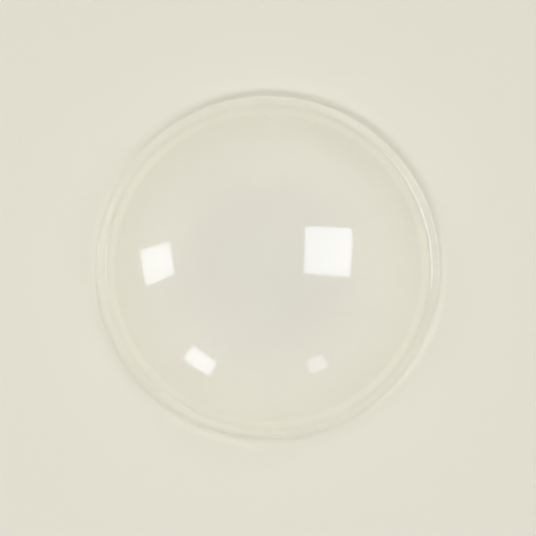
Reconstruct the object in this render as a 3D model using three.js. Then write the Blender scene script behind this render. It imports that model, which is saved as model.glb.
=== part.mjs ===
// A clear self-adhesive bumper for a cabinet door: one drop of cast polyurethane, flat below, where its
// adhesive coat is, and domed above, where the door strikes.
// Millimetres, +Z up. The origin is the middle of the flat underside.
import * as THREE from "three";

// Driving sizes
const cutDiameter = 12.7; // half an inch, across the punched edge
const bumperHeight = 3; // from the adhesive face to the top of the dome
const skirtThickness = 0.4; // the cast skin that the punch cuts through
const skirtWidth = 0.35; // from the punched edge in to the foot of the dome
const footFillet = 0.25; // concave radius where the dome runs into the skirt
const edgeRound = 0.06; // rounded upper corner of the punched edge

// Fineness of the facets
const turns = 96; // facets around the axis
const domeSteps = 24; // facets from the top of the dome to its fillet
const filletSteps = 4;
const roundSteps = 2;

// Sizes that follow
const cutRadius = cutDiameter / 2;
const footRadius = cutRadius - skirtWidth;
const domeRise = bumperHeight - skirtThickness;
const domeRadius = (footRadius ** 2 + domeRise ** 2) / (2 * domeRise); // sphere through the foot and the top
const domeCentreZ = bumperHeight - domeRadius;

// Points of an arc, both ends included. Angles are in radians, from the +X of the section.
function arcPoints(centreX, centreZ, radius, from, to, steps) {
  const arc = new THREE.EllipseCurve(centreX, centreZ, radius, radius, from, to, to < from);
  return arc.getPoints(steps);
}

// The fillet's centre is one fillet radius above the skirt and one outside the dome's sphere, so that it
// touches both.
function filletCentre(filletRadius) {
  const z = skirtThickness + filletRadius;
  const x = Math.sqrt((domeRadius + filletRadius) ** 2 - (z - domeCentreZ) ** 2);
  return new THREE.Vector2(x, z);
}

// Half of the section, from the underside's middle, out, up the punched edge, in over the skirt and up
// the dome to the axis.
function sectionPoints() {
  const corner = Math.min(edgeRound, skirtThickness / 2, skirtWidth / 4);
  const fillet = filletCentre(footFillet);
  const domeFoot = Math.atan2(fillet.y - domeCentreZ, fillet.x);
  return [
    new THREE.Vector2(0, 0),
    new THREE.Vector2(cutRadius, 0),
    ...arcPoints(cutRadius - corner, skirtThickness - corner, corner, 0, Math.PI / 2, roundSteps),
    ...arcPoints(fillet.x, fillet.y, footFillet, -Math.PI / 2, domeFoot - Math.PI, filletSteps),
    ...arcPoints(0, domeCentreZ, domeRadius, domeFoot, Math.PI / 2, domeSteps).slice(1, -1),
    new THREE.Vector2(0, bumperHeight),
  ];
}

// Cast polyurethane: water-clear with a faint warm tint, and glossy.
function polyurethane() {
  return new THREE.MeshStandardMaterial({
    color: 0xe6e3d2,
    roughness: 0.05,
    metalness: 0,
    transparent: true,
    opacity: 0.35,
  });
}

function domedBumper() {
  const mesh = new THREE.Mesh(new THREE.LatheGeometry(sectionPoints(), turns), polyurethane());
  mesh.name = "domed_bumper";
  mesh.rotation.x = Math.PI / 2; // a lathe turns about +Y, and the bumper stands along +Z
  return mesh;
}

const bumper = new THREE.Group();
bumper.add(domedBumper());

export default bumper;
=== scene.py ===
# %% [markdown]
# # A clear cabinet door bumper
#
# The real thing is one drop of cast polyurethane, about as wide as a shirt button. It is flat and sticky
# below, so that it holds to the back of a cabinet door, and domed above, where the door strikes the cabinet.
# A thin skirt runs round its foot, left by the punch that cut it free.
#
# The imported solid gives its size, so the frame is loaded first and the size is read from it.
# Everything in the frame is in metres.

# %% Load the frame and read the bumper's size
import math

import bpy
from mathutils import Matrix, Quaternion, Vector


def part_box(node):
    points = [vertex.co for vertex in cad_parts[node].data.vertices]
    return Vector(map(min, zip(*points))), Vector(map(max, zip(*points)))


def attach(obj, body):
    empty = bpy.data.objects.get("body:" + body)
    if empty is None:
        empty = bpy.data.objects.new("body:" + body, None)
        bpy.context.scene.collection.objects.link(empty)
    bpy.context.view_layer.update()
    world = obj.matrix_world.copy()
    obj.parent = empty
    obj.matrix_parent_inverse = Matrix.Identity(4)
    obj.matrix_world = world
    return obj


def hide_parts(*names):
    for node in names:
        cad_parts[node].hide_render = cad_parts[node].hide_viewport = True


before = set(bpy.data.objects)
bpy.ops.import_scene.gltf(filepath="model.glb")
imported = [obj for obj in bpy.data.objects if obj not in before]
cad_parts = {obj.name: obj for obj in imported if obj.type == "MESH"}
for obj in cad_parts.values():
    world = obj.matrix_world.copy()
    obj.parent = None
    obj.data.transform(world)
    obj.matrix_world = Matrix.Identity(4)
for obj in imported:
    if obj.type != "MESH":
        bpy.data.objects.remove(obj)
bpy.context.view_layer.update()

MM = 0.001
bumper_low, bumper_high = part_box("domed_bumper")
CUT_RADIUS = (bumper_high.x - bumper_low.x) / 2
HEIGHT = bumper_high.z - bumper_low.z
print(f"the bumper is {2 * CUT_RADIUS / MM:.2f} mm across and {HEIGHT / MM:.2f} mm high")

# %% [markdown]
# ## The sizes of the section
#
# Every cut through the middle of the bumper looks the same. Going out from the axis along the underside,
# the section turns up the punched edge, rounds a small corner, comes in over the skirt, sweeps through a
# hollow fillet and climbs the dome. Six stretches, each a straight line or an arc, describe all of it.

# %% Give the section its sizes
SKIRT_THICKNESS = 0.4 * MM
SKIRT_WIDTH = 0.35 * MM
FOOT_FILLET = 0.25 * MM
EDGE_ROUND = 0.06 * MM

foot_radius = CUT_RADIUS - SKIRT_WIDTH
dome_rise = HEIGHT - SKIRT_THICKNESS
DOME_RADIUS = (foot_radius**2 + dome_rise**2) / (2 * dome_rise)
print(f"the dome is part of a sphere of {DOME_RADIUS / MM:.2f} mm radius")

# %% [markdown]
# ## Formulas in a node tree
#
# A body of revolution follows a rule, so Geometry Nodes can make it from its sizes. The rule is a handful of
# formulas, and a formula is hard to read as a row of Math nodes. This small class lets the script write one
# with +, -, * and /, and adds the Math nodes for it. It serves materials and the room's light as well.

# %% Write formulas as Math nodes
class Field:
    """A number in a node tree, which may differ from point to point."""

    def __init__(self, tree, socket):
        self.tree = tree
        self.socket = socket

    def math(self, operation, *others):
        node = self.tree.nodes.new("ShaderNodeMath")
        node.operation = operation
        for socket, value in zip(node.inputs, (self, *others)):
            plug(self.tree, value, socket)
        return Field(self.tree, node.outputs[0])

    def __add__(self, other):
        return self.math("ADD", other)

    def __sub__(self, other):
        return self.math("SUBTRACT", other)

    def __mul__(self, other):
        return self.math("MULTIPLY", other)

    def __truediv__(self, other):
        return self.math("DIVIDE", other)


def plug(tree, value, socket):
    """Sets a socket to a plain value, or links it to a field or to another socket."""
    if isinstance(value, Field):
        value = value.socket
    if isinstance(value, bpy.types.NodeSocket):
        tree.links.new(value, socket)
    else:
        socket.default_value = value


def add_node(tree, kind, inputs=None, **settings):
    """Adds a node, sets its properties, then fills the inputs that are named."""
    node = tree.nodes.new(kind)
    for name, value in settings.items():
        setattr(node, name, value)
    for name, value in (inputs or {}).items():
        plug(tree, value, node.inputs[name])
    return node


# %% [markdown]
# ## The rule of the section
#
# The dome is part of a sphere: its radius follows from the foot's radius and the rise. The fillet's centre
# stands one fillet radius above the skirt and one outside the sphere, so the fillet touches both, and the
# angle at which it leaves the sphere follows too. Each stretch is then a point that moves as `share` goes
# from 0 to 1. Worked out inside the tree, the formulas stay alive: a new size on the modifier moves the
# shape, and the script needn't run again.

# %% Work out the section's stretches from the sizes
def line(share, start, end):
    """A point that moves along a straight line."""
    return tuple((b - a) * share + a for a, b in zip(start, end))


def arc(share, centre, radius, start, end):
    """A point that moves round an arc, from one angle to another."""
    angle = (end - start) * share + start
    return (
        angle.math("COSINE") * radius + centre[0],
        angle.math("SINE") * radius + centre[1],
    )


def section(tree, size, share):
    """The six stretches, from the underside's middle round to the top of the dome."""

    def number(value):
        output = add_node(tree, "ShaderNodeValue").outputs[0]
        output.default_value = value
        return Field(tree, output)

    zero, quarter_turn = number(0.0), number(math.pi / 2)
    foot = size["Cut Radius"] - size["Skirt Width"]
    rise = size["Height"] - size["Skirt Thickness"]
    dome = (foot * foot + rise * rise) / (rise * 2)
    dome_centre = size["Height"] - dome
    fillet, skirt = size["Foot Fillet"], size["Skirt Thickness"]
    fillet_z = skirt + fillet
    reach = (dome + fillet) * (dome + fillet) - (fillet_z - dome_centre) * (fillet_z - dome_centre)
    fillet_x = reach.math("SQRT")
    leave = (fillet_z - dome_centre).math("ARCTAN2", fillet_x)
    corner = size["Edge Round"]
    corner_x, corner_z = size["Cut Radius"] - corner, skirt - corner
    return [
        line(share, (zero, zero), (size["Cut Radius"], zero)),
        line(share, (size["Cut Radius"], zero), (size["Cut Radius"], corner_z)),
        arc(share, (corner_x, corner_z), corner, zero, quarter_turn),
        line(share, (corner_x, skirt), (fillet_x, skirt)),
        arc(share, (fillet_x, fillet_z), fillet, zero - quarter_turn, leave - math.pi),
        arc(share, (zero, dome_centre), dome, leave, quarter_turn),
    ]


# %% [markdown]
# ## Turning the section round the axis
#
# A lathe can be made of a flat grid. One direction of the grid runs along the section and the other round
# the axis, and Set Position moves each point to its place. Points that land on each other, on the axis and
# where the turn closes, are merged, so the body is closed.
#
# The same tree picks out the three surfaces: the cast dome and skirt, the punched edge, and the underside
# with its adhesive. The direction that a face looks in tells them apart, so no list of faces is kept.

# %% Build the node tree
SIZES = {
    "Cut Radius": CUT_RADIUS,
    "Height": HEIGHT,
    "Skirt Thickness": SKIRT_THICKNESS,
    "Skirt Width": SKIRT_WIDTH,
    "Foot Fillet": FOOT_FILLET,
    "Edge Round": EDGE_ROUND,
}
FINISHES = ("Cast Surface", "Punched Edge", "Adhesive")
TURNS = 256  # facets round the axis
STEPS = 24  # facets along each stretch
STRETCHES = 6
GRID_EDGE = 0.5  # the grid runs from -0.5 to 0.5 both ways
ROUNDING = 0.0001  # keeps a stretch's first row out of the stretch before it
MERGE_DISTANCE = 0.001 * MM
SIDEWAYS = 0.3  # a face whose normal rises or falls less than this stands upright
DOWNWARDS = -0.9  # a face whose normal falls more than this looks down


def add_sockets(tree):
    """Gives the tree its named inputs and its output."""
    new_socket = tree.interface.new_socket
    for name, value in SIZES.items():
        new_socket(name, in_out="INPUT", socket_type="NodeSocketFloat").default_value = value
    for name, value in (("Turns", TURNS), ("Steps", STEPS)):
        new_socket(name, in_out="INPUT", socket_type="NodeSocketInt").default_value = value
    for name in FINISHES:
        new_socket(name, in_out="INPUT", socket_type="NodeSocketMaterial")
    new_socket("Geometry", in_out="OUTPUT", socket_type="NodeSocketGeometry")


def turned_grid(tree, given):
    """Lays a grid along the section and round the axis, and closes it."""
    rows = Field(tree, given["Steps"]) * STRETCHES + 1
    columns = Field(tree, given["Turns"]) + 1
    sides = {"Size X": 1.0, "Size Y": 1.0, "Vertices X": columns, "Vertices Y": rows}
    grid = add_node(tree, "GeometryNodeMeshGrid", sides)
    position = add_node(tree, "GeometryNodeInputPosition").outputs[0]
    place = add_node(tree, "ShaderNodeSeparateXYZ", {"Vector": position})
    angle = (Field(tree, place.outputs["X"]) + GRID_EDGE) * math.tau
    along = (Field(tree, place.outputs["Y"]) + GRID_EDGE) * STRETCHES
    stretch = (along + ROUNDING).math("FLOOR").math("MINIMUM", STRETCHES - 1)
    share = (along - stretch).math("MAXIMUM", 0.0)

    pick = add_node(tree, "GeometryNodeIndexSwitch", {"Index": stretch}, data_type="VECTOR")
    while len(pick.index_switch_items) < STRETCHES:
        pick.index_switch_items.new()
    size = {name: Field(tree, given[name]) for name in SIZES}
    for index, (x, z) in enumerate(section(tree, size, share)):
        point = add_node(tree, "ShaderNodeCombineXYZ", {"X": x, "Z": z})
        tree.links.new(point.outputs[0], pick.inputs[1 + index])
    turned = add_node(
        tree, "ShaderNodeVectorRotate", {"Vector": pick.outputs[0], "Angle": angle}, rotation_type="Z_AXIS"
    )
    body = add_node(
        tree, "GeometryNodeSetPosition", {"Geometry": grid.outputs["Mesh"], "Position": turned.outputs[0]}
    )
    return add_node(
        tree, "GeometryNodeMergeByDistance", {"Geometry": body.outputs[0], "Distance": MERGE_DISTANCE}
    )


def finished(tree, body, given):
    """Gives every face its finish, by the direction that it looks in."""
    body = add_node(tree, "GeometryNodeSetShadeSmooth", {"Geometry": body.outputs[0]}, domain="FACE")
    normal = add_node(tree, "GeometryNodeInputNormal").outputs[0]
    rise = Field(tree, add_node(tree, "ShaderNodeSeparateXYZ", {"Vector": normal}).outputs["Z"])
    masks = {
        "Cast Surface": None,
        "Punched Edge": rise.math("ABSOLUTE").math("LESS_THAN", SIDEWAYS),
        "Adhesive": rise.math("LESS_THAN", DOWNWARDS),
    }
    for name, mask in masks.items():
        inputs = {"Geometry": body.outputs[0], "Material": given[name]}
        if mask is not None:
            inputs["Selection"] = mask
        body = add_node(tree, "GeometryNodeSetMaterial", inputs)
    return body


def turned_bumper_tree():
    tree = bpy.data.node_groups.new("turned_bumper", "GeometryNodeTree")
    add_sockets(tree)
    given = tree.nodes.new("NodeGroupInput").outputs
    real = add_node(tree, "GeometryNodeRealizeInstances", {"Geometry": turned_grid(tree, given).outputs[0]})
    body = finished(tree, real, given)
    result = tree.nodes.new("NodeGroupOutput")
    tree.links.new(body.outputs[0], result.inputs["Geometry"])
    return tree


bumper_tree = turned_bumper_tree()
print(f"the tree has {len(bumper_tree.nodes)} nodes and {len(SIZES)} sizes")

# %% [markdown]
# ## Clear cast polyurethane
#
# The resin is cast in a polished mould, so the dome is almost as smooth as glass, and it is water-clear with
# a faint straw tint from ageing. The Principled shader makes it with full transmission and an index of
# refraction of 1.5. Two things keep it from looking like a computer's glass ball. The resin shrinks a
# little as it cures, which leaves very shallow waves on the surface, and a slightly uneven mix tints it a
# shade more here than there. Both come from noise in Object coordinates, so they stay on the bumper when it
# is moved.

# %% Make the cast surface
def shader_material(name, **values):
    """A new material with a Principled shader, and that shader's sockets set by name."""
    material = bpy.data.materials.new(name)
    material.use_nodes = True
    shader = material.node_tree.nodes["Principled BSDF"]
    for socket, value in values.items():
        shader.inputs[socket.replace("_", " ")].default_value = value
    return material, shader


def noise(tree, scale, detail=2.0, stretch=(1.0, 1.0, 1.0)):
    """Noise in Object coordinates, whose scale counts waves to the metre."""
    place = add_node(tree, "ShaderNodeTexCoord").outputs["Object"]
    mapped = add_node(tree, "ShaderNodeMapping", {"Vector": place, "Scale": stretch}).outputs[0]
    return add_node(
        tree, "ShaderNodeTexNoise", {"Vector": mapped, "Scale": scale, "Detail": detail}
    ).outputs["Fac"]


def blend(tree, factor, first, second):
    """Mixes two colours by a factor. A colour is red, green and blue, or a socket."""
    mix = add_node(tree, "ShaderNodeMix", {"Factor": factor}, data_type="RGBA")
    for name, colour in (("A", first), ("B", second)):
        plug(tree, (*colour, 1) if isinstance(colour, tuple) else colour, mix.inputs[name])
    return mix.outputs["Result"]


def tinted(tree, shader, factor, first, second):
    """Gives the shader a blend of two colours."""
    plug(tree, blend(tree, factor, first, second), shader.inputs["Base Color"])


def roughened(tree, shader, height, strength, depth):
    """Gives the shader a small relief, from a height that goes from 0 to 1 over the depth."""
    bump = add_node(tree, "ShaderNodeBump", {"Height": height, "Strength": strength, "Distance": depth})
    tree.links.new(bump.outputs[0], shader.inputs["Normal"])


def cast_polyurethane():
    material, shader = shader_material(
        "cast_polyurethane", Roughness=0.08, IOR=1.5, Transmission_Weight=1.0
    )
    tree = material.node_tree
    tinted(tree, shader, noise(tree, scale=260.0), (1.0, 1.0, 0.996), (0.999, 0.998, 0.99))
    roughened(tree, shader, noise(tree, scale=420.0), strength=0.25, depth=0.002 * MM)
    return material


finishes = {"Cast Surface": cast_polyurethane()}
print("the dome and the skirt have", finishes["Cast Surface"].name)

# %% [markdown]
# ## The punched edge
#
# A sharp steel punch goes straight down through the soft resin and leaves an upright wall, nearly as clear
# as the dome, with the faintest of drag marks. A rough wall would scatter light and make a bright ring. A
# smooth one bends the light away from the eye, so the bumper's outline is a fine dark line. The marks are
# noise that is stretched along Z until it has no change in that direction, which needs no picture and no
# unwrapping.

# %% Make the punched edge
def punched_edge():
    material, shader = shader_material("punched_edge", IOR=1.5, Transmission_Weight=1.0)
    tree = material.node_tree
    marks = noise(tree, scale=5200.0, detail=3.0, stretch=(1.0, 1.0, 0.02))
    tinted(tree, shader, marks, (1.0, 0.998, 0.99), (0.985, 0.98, 0.965))
    plug(tree, Field(tree, marks) * 0.04 + 0.01, shader.inputs["Roughness"])
    roughened(tree, shader, marks, strength=0.3, depth=0.001 * MM)
    return material


finishes["Punched Edge"] = punched_edge()
print("the wall has", finishes["Punched Edge"].name)

# %% [markdown]
# ## The adhesive
#
# The underside carries a coat of clear pressure-sensitive adhesive. It is rolled on, so seen from below it
# has a faint orange-peel mottle and is hazier than the dome. It is part of the same body here, because it is
# about as thin as a hair and never comes off in one piece.

# %% Make the adhesive
def adhesive():
    material, shader = shader_material("adhesive", IOR=1.48, Transmission_Weight=1.0)
    tree = material.node_tree
    mottle = noise(tree, scale=900.0, detail=4.0)
    tinted(tree, shader, mottle, (1.0, 0.998, 0.99), (0.975, 0.968, 0.945))
    plug(tree, Field(tree, mottle) * 0.25 + 0.15, shader.inputs["Roughness"])
    roughened(tree, shader, mottle, strength=0.4, depth=0.01 * MM)
    return material


finishes["Adhesive"] = adhesive()
print("the underside has", finishes["Adhesive"].name)

# %% [markdown]
# ## From tree to plain mesh
#
# The tree does its work as a modifier on an empty mesh. Its materials are inputs as well, and they are set
# by each socket's identifier before the object is evaluated for the first time. Then the result is copied
# into a plain mesh, so that nothing depends on the modifier any more, and the plain mesh takes the solid's
# place. The tree's grid starts out with an empty material slot, which is dropped.

# %% Turn the bumper
def turned_bumper():
    holder = bpy.data.objects.new("holder", bpy.data.meshes.new("holder"))
    bpy.context.scene.collection.objects.link(holder)
    modifier = holder.modifiers.new("turned_bumper", "NODES")
    modifier.node_group = bumper_tree
    for item in bumper_tree.interface.items_tree:
        if item.in_out == "INPUT" and item.name in finishes:
            modifier[item.identifier] = finishes[item.name]
    evaluated = holder.evaluated_get(bpy.context.evaluated_depsgraph_get())
    mesh = bpy.data.meshes.new_from_object(evaluated)
    bpy.data.objects.remove(holder)
    for index in reversed(range(len(mesh.materials))):
        if mesh.materials[index] is None:
            mesh.materials.pop(index=index)
    piece = bpy.data.objects.new("clear_dome", mesh)
    bpy.context.scene.collection.objects.link(piece)
    return piece


bumper = turned_bumper()
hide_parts("domed_bumper")
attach(bumper, "root")
slots = [slot.material.name for slot in bumper.material_slots]
print(f"{len(bumper.data.vertices)} points, {len(bumper.data.polygons)} faces, slots {slots}")

# %% [markdown]
# ## The floor
#
# The floor is plain warm white paper. Its surface lies a hundredth of a millimetre inside the bumper,
# because adhesive wets what it sticks to and leaves no air between. Without air, part of the light that the
# paper scatters is trapped inside the bumper, which makes the paper look too dark there. So painted light
# makes up for it: the paper is painted paler under the bumper, and the inside comes out only a little darker
# than the open paper. Towards the punched edge the painted light fades a little, a painted shade that keeps
# the rim's line clear.

# %% Lay the floor
FLOOR_RADIUS = 900 * MM
WETTING = 0.01 * MM
OPEN_PAPER = (0.83, 0.82, 0.765)
# Painted light: the paper's colour under the bumper, painted paler in place of the light trapped in the
# resin
PAINTED_LIGHT_PAPER = (0.957, 0.952, 0.912)
# Painted light that fades towards the punched edge, which paints a faint shade along the rim
RIM_PAINTED_LIGHT_PAPER = (0.908, 0.903, 0.864)
FADE_START = 5.5 * MM


def paper():
    material, shader = shader_material("warm_white_paper", Roughness=0.9)
    tree = material.node_tree
    place = add_node(tree, "ShaderNodeTexCoord").outputs["Object"]
    distance = add_node(tree, "ShaderNodeVectorMath", {0: place}, operation="LENGTH").outputs["Value"]
    fade = add_node(
        tree, "ShaderNodeMapRange", {"Value": distance, "From Min": FADE_START, "From Max": CUT_RADIUS}
    )
    # Painted light under the bumper, fading to a fainter painted light at the rim, which darkens the rim a
    # shade
    painted_light = blend(tree, fade.outputs["Result"], PAINTED_LIGHT_PAPER, RIM_PAINTED_LIGHT_PAPER)
    inside = Field(tree, distance).math("LESS_THAN", CUT_RADIUS)
    tinted(tree, shader, inside, OPEN_PAPER, painted_light)
    return material


def floor():
    bpy.ops.mesh.primitive_circle_add(
        vertices=128, radius=FLOOR_RADIUS, fill_type="NGON", location=(0, 0, WETTING)
    )
    piece = bpy.context.active_object
    piece.name = "floor"
    piece.data.materials.append(paper())
    return piece


floor()
print(f"the floor is {2 * FLOOR_RADIUS / MM:.0f} mm across and lies {WETTING / MM:.2f} mm up in the bumper")

# %% [markdown]
# ## The camera
#
# The photograph looks straight down, so the camera hangs over the middle of the bumper. A long lens from
# further away keeps the sides of the dome from leaning out.

# %% Hang the camera over the bumper
LENS = 200
SENSOR = 36
BUMPER_SHARE = 0.64  # of the frame's width
NEAREST = 1 * MM
FARTHEST = 10_000 * MM

camera = bpy.data.objects.new("camera", bpy.data.cameras.new("camera"))
bpy.context.scene.collection.objects.link(camera)
bpy.context.scene.camera = camera
camera.data.lens = LENS
camera.data.sensor_width = SENSOR
frame_width = 2 * CUT_RADIUS / BUMPER_SHARE
camera.location = (0, 0, frame_width * LENS / SENSOR)
camera.data.clip_start = NEAREST
camera.data.clip_end = FARTHEST
print(f"the camera hangs {camera.location.z / MM:.0f} mm over the floor")

# %% [markdown]
# ## The lamps that the dome mirrors
#
# A clear dome is seen mostly by what it mirrors: here two square softboxes and, lower down, two small lamps.
# A lamp that is to be mirrored at a chosen place on a sphere can be found by turning the light's path round.
# The line of sight from the camera to that place is reflected there, and the lamp is hung along the
# reflected line, facing back. The lamps are a little cooler than the room. They only serve the reflections,
# so the paper and the resin's inside don't see them.

# %% Hang the mirrored lamps
LAMP_DISTANCE = 400 * MM
LAMP_COLOUR = (0.78, 0.825, 1.0)
DOME_CENTRE = Vector((0, 0, HEIGHT - DOME_RADIUS))


def lamp_for_glint(name, place, span, turn, radiance):
    """Hangs a lamp that the dome mirrors at a place, seen from above.

    The place and the span of the reflection are in millimetres, and turn is in degrees, clockwise.
    """
    x, y = (value * MM for value in place)
    normal = Vector((x, y, math.sqrt(DOME_RADIUS**2 - x**2 - y**2))) / DOME_RADIUS
    point = DOME_CENTRE + DOME_RADIUS * normal
    view = (camera.location - point).normalized()
    direction = 2 * normal.dot(view) * normal - view

    # How far the mirrored line swings across the reflection, away from the axis and round it
    swing_out = 2 * span[0] * MM / (DOME_RADIUS * normal.z)
    swing_round = 2 * span[1] * MM * normal.z / DOME_RADIUS
    lamp = bpy.data.objects.new(name, bpy.data.lights.new(name, "AREA"))
    bpy.context.scene.collection.objects.link(lamp)
    lamp.data.shape = "RECTANGLE"
    lamp.data.size = 2 * LAMP_DISTANCE * math.tan(swing_round / 2)
    lamp.data.size_y = 2 * LAMP_DISTANCE * math.tan(swing_out / 2)
    lamp.data.energy = radiance * math.pi * lamp.data.size * lamp.data.size_y
    lamp.data.color = LAMP_COLOUR
    lamp.location = point + direction * LAMP_DISTANCE
    lamp.rotation_mode = "QUATERNION"
    aim = direction.to_track_quat("Z", "Y")
    lamp.rotation_quaternion = Quaternion(direction, -math.radians(turn)) @ aim
    lamp.visible_camera = False
    lamp.visible_diffuse = False
    lamp.visible_transmission = False
    print(f"{name}: {math.degrees(math.acos(direction.z)):.0f} degrees from straight up")


lamp_for_glint("right_softbox", place=(2.21, 0.61), span=(1.76, 1.80), turn=19, radiance=7.6)
lamp_for_glint("left_softbox", place=(-4.04, 0.18), span=(1.15, 1.30), turn=-18, radiance=6.8)
lamp_for_glint("low_lamp", place=(-2.46, -3.39), span=(0.62, 1.10), turn=-2, radiance=6.8)
lamp_for_glint("faint_lamp", place=(1.79, -3.50), span=(0.54, 0.64), turn=0, radiance=4.0)

# %% [markdown]
# ## The light of the room
#
# The room itself gives a soft light, most of it from overhead and some low from all round. Each part is a
# soft lobe, the cosine of the angle from the lobe's middle raised to a power.
#
# The rest comes from small round panels that hang all round in a few rows. All panels of a row have the
# same height and the same strength. The skirt is only 0.4 mm high, but the punched edge turns a panel's
# light back into the resin, so on the far side a short dark band lies on the paper. Where the bands of
# several panels fall together they draw the fine dark line along the rim, which is strongest from
# north-west to north-east and fainter from south to west. The dome doesn't mirror these panels, so that its
# reflections stay those of the four lamps.

# %% Light the room
ROOM_COLOUR = (0.884, 0.866, 0.800)
# Each lobe has its middle's bearing and height in degrees, its power and its strength.
OVERHEAD_LOBE = ((0, 90), 8, 0.75)
LOW_LOBES = [((bearing, 15), 4, 0.10) for bearing in (0, 90, 180, 270)]
PANEL_WIDTH = 112 * MM
# Each row of panels has its height in degrees, its radiance and its bearings in degrees.
PANEL_ROWS = (
    (32, 4.7, (5, 28, 95, 115, 275, 297)),
    (44, 4.5, (150, 200, 220)),
    (56, 4.5, (180, 210)),
    (68, 8.5, (15,)),
    (68, 3.5, (240,)),
)


def towards(bearing, height):
    """The direction of a compass bearing and a height, both in degrees."""
    bearing, height = math.radians(bearing), math.radians(height)
    return Vector(
        (math.sin(bearing) * math.cos(height), math.cos(bearing) * math.cos(height), math.sin(height))
    )


def lobe(tree, direction, middle, power, strength):
    """A soft lobe of light round a middle, given by its bearing and height."""
    axis = towards(*middle)
    dot = add_node(tree, "ShaderNodeVectorMath", {0: direction, 1: axis}, operation="DOT_PRODUCT")
    return Field(tree, dot.outputs["Value"]).math("MAXIMUM", 0.0).math("POWER", power) * strength


def panel(place, radiance):
    """Hangs a round panel at a bearing and height, which lights the bumper but isn't mirrored in it."""
    lamp = bpy.data.objects.new("panel", bpy.data.lights.new("panel", "AREA"))
    bpy.context.scene.collection.objects.link(lamp)
    lamp.data.shape = "DISK"
    lamp.data.size = PANEL_WIDTH
    area = math.pi * (PANEL_WIDTH / 2) ** 2
    lamp.data.energy = radiance * math.pi * area
    lamp.data.color = ROOM_COLOUR
    lamp.location = towards(*place) * LAMP_DISTANCE
    lamp.rotation_euler = towards(*place).to_track_quat("Z", "Y").to_euler()
    lamp.visible_camera = False
    lamp.visible_glossy = False


room = bpy.data.worlds.new("soft_room")
bpy.context.scene.world = room
room.use_nodes = True
room_tree = room.node_tree
background = room_tree.nodes["Background"]
background.inputs["Color"].default_value = (*ROOM_COLOUR, 1)
direction = add_node(room_tree, "ShaderNodeTexCoord").outputs["Generated"]
light = lobe(room_tree, direction, *OVERHEAD_LOBE)
for part in LOW_LOBES:
    light = light + lobe(room_tree, direction, *part)
plug(room_tree, light, background.inputs["Strength"])
for height, radiance, bearings in PANEL_ROWS:
    for bearing in bearings:
        panel((bearing, height), radiance)
print(f"the room's light is {1 + len(LOW_LOBES)} soft lobes and {len(PANEL_ROWS)} rows of panels")

# %% [markdown]
# ## How far light is followed
#
# Light enters a clear body, goes about in it and leaves again, so paths through it are long. They are
# allowed many turns here. The renderer also blurs sharp reflections after a soft one to save noise, and that
# blur frosts the inside of clear plastic and darkens it, so it is turned off. The colours are shown as they
# are, without a film's look.

# %% Follow light through the plastic
cycles = bpy.context.scene.cycles
cycles.blur_glossy = 0.0
cycles.max_bounces = 24
cycles.diffuse_bounces = 12
cycles.glossy_bounces = 16
cycles.transmission_bounces = 24
bpy.context.scene.view_settings.view_transform = "Standard"
print(f"light is followed for up to {cycles.max_bounces} turns")
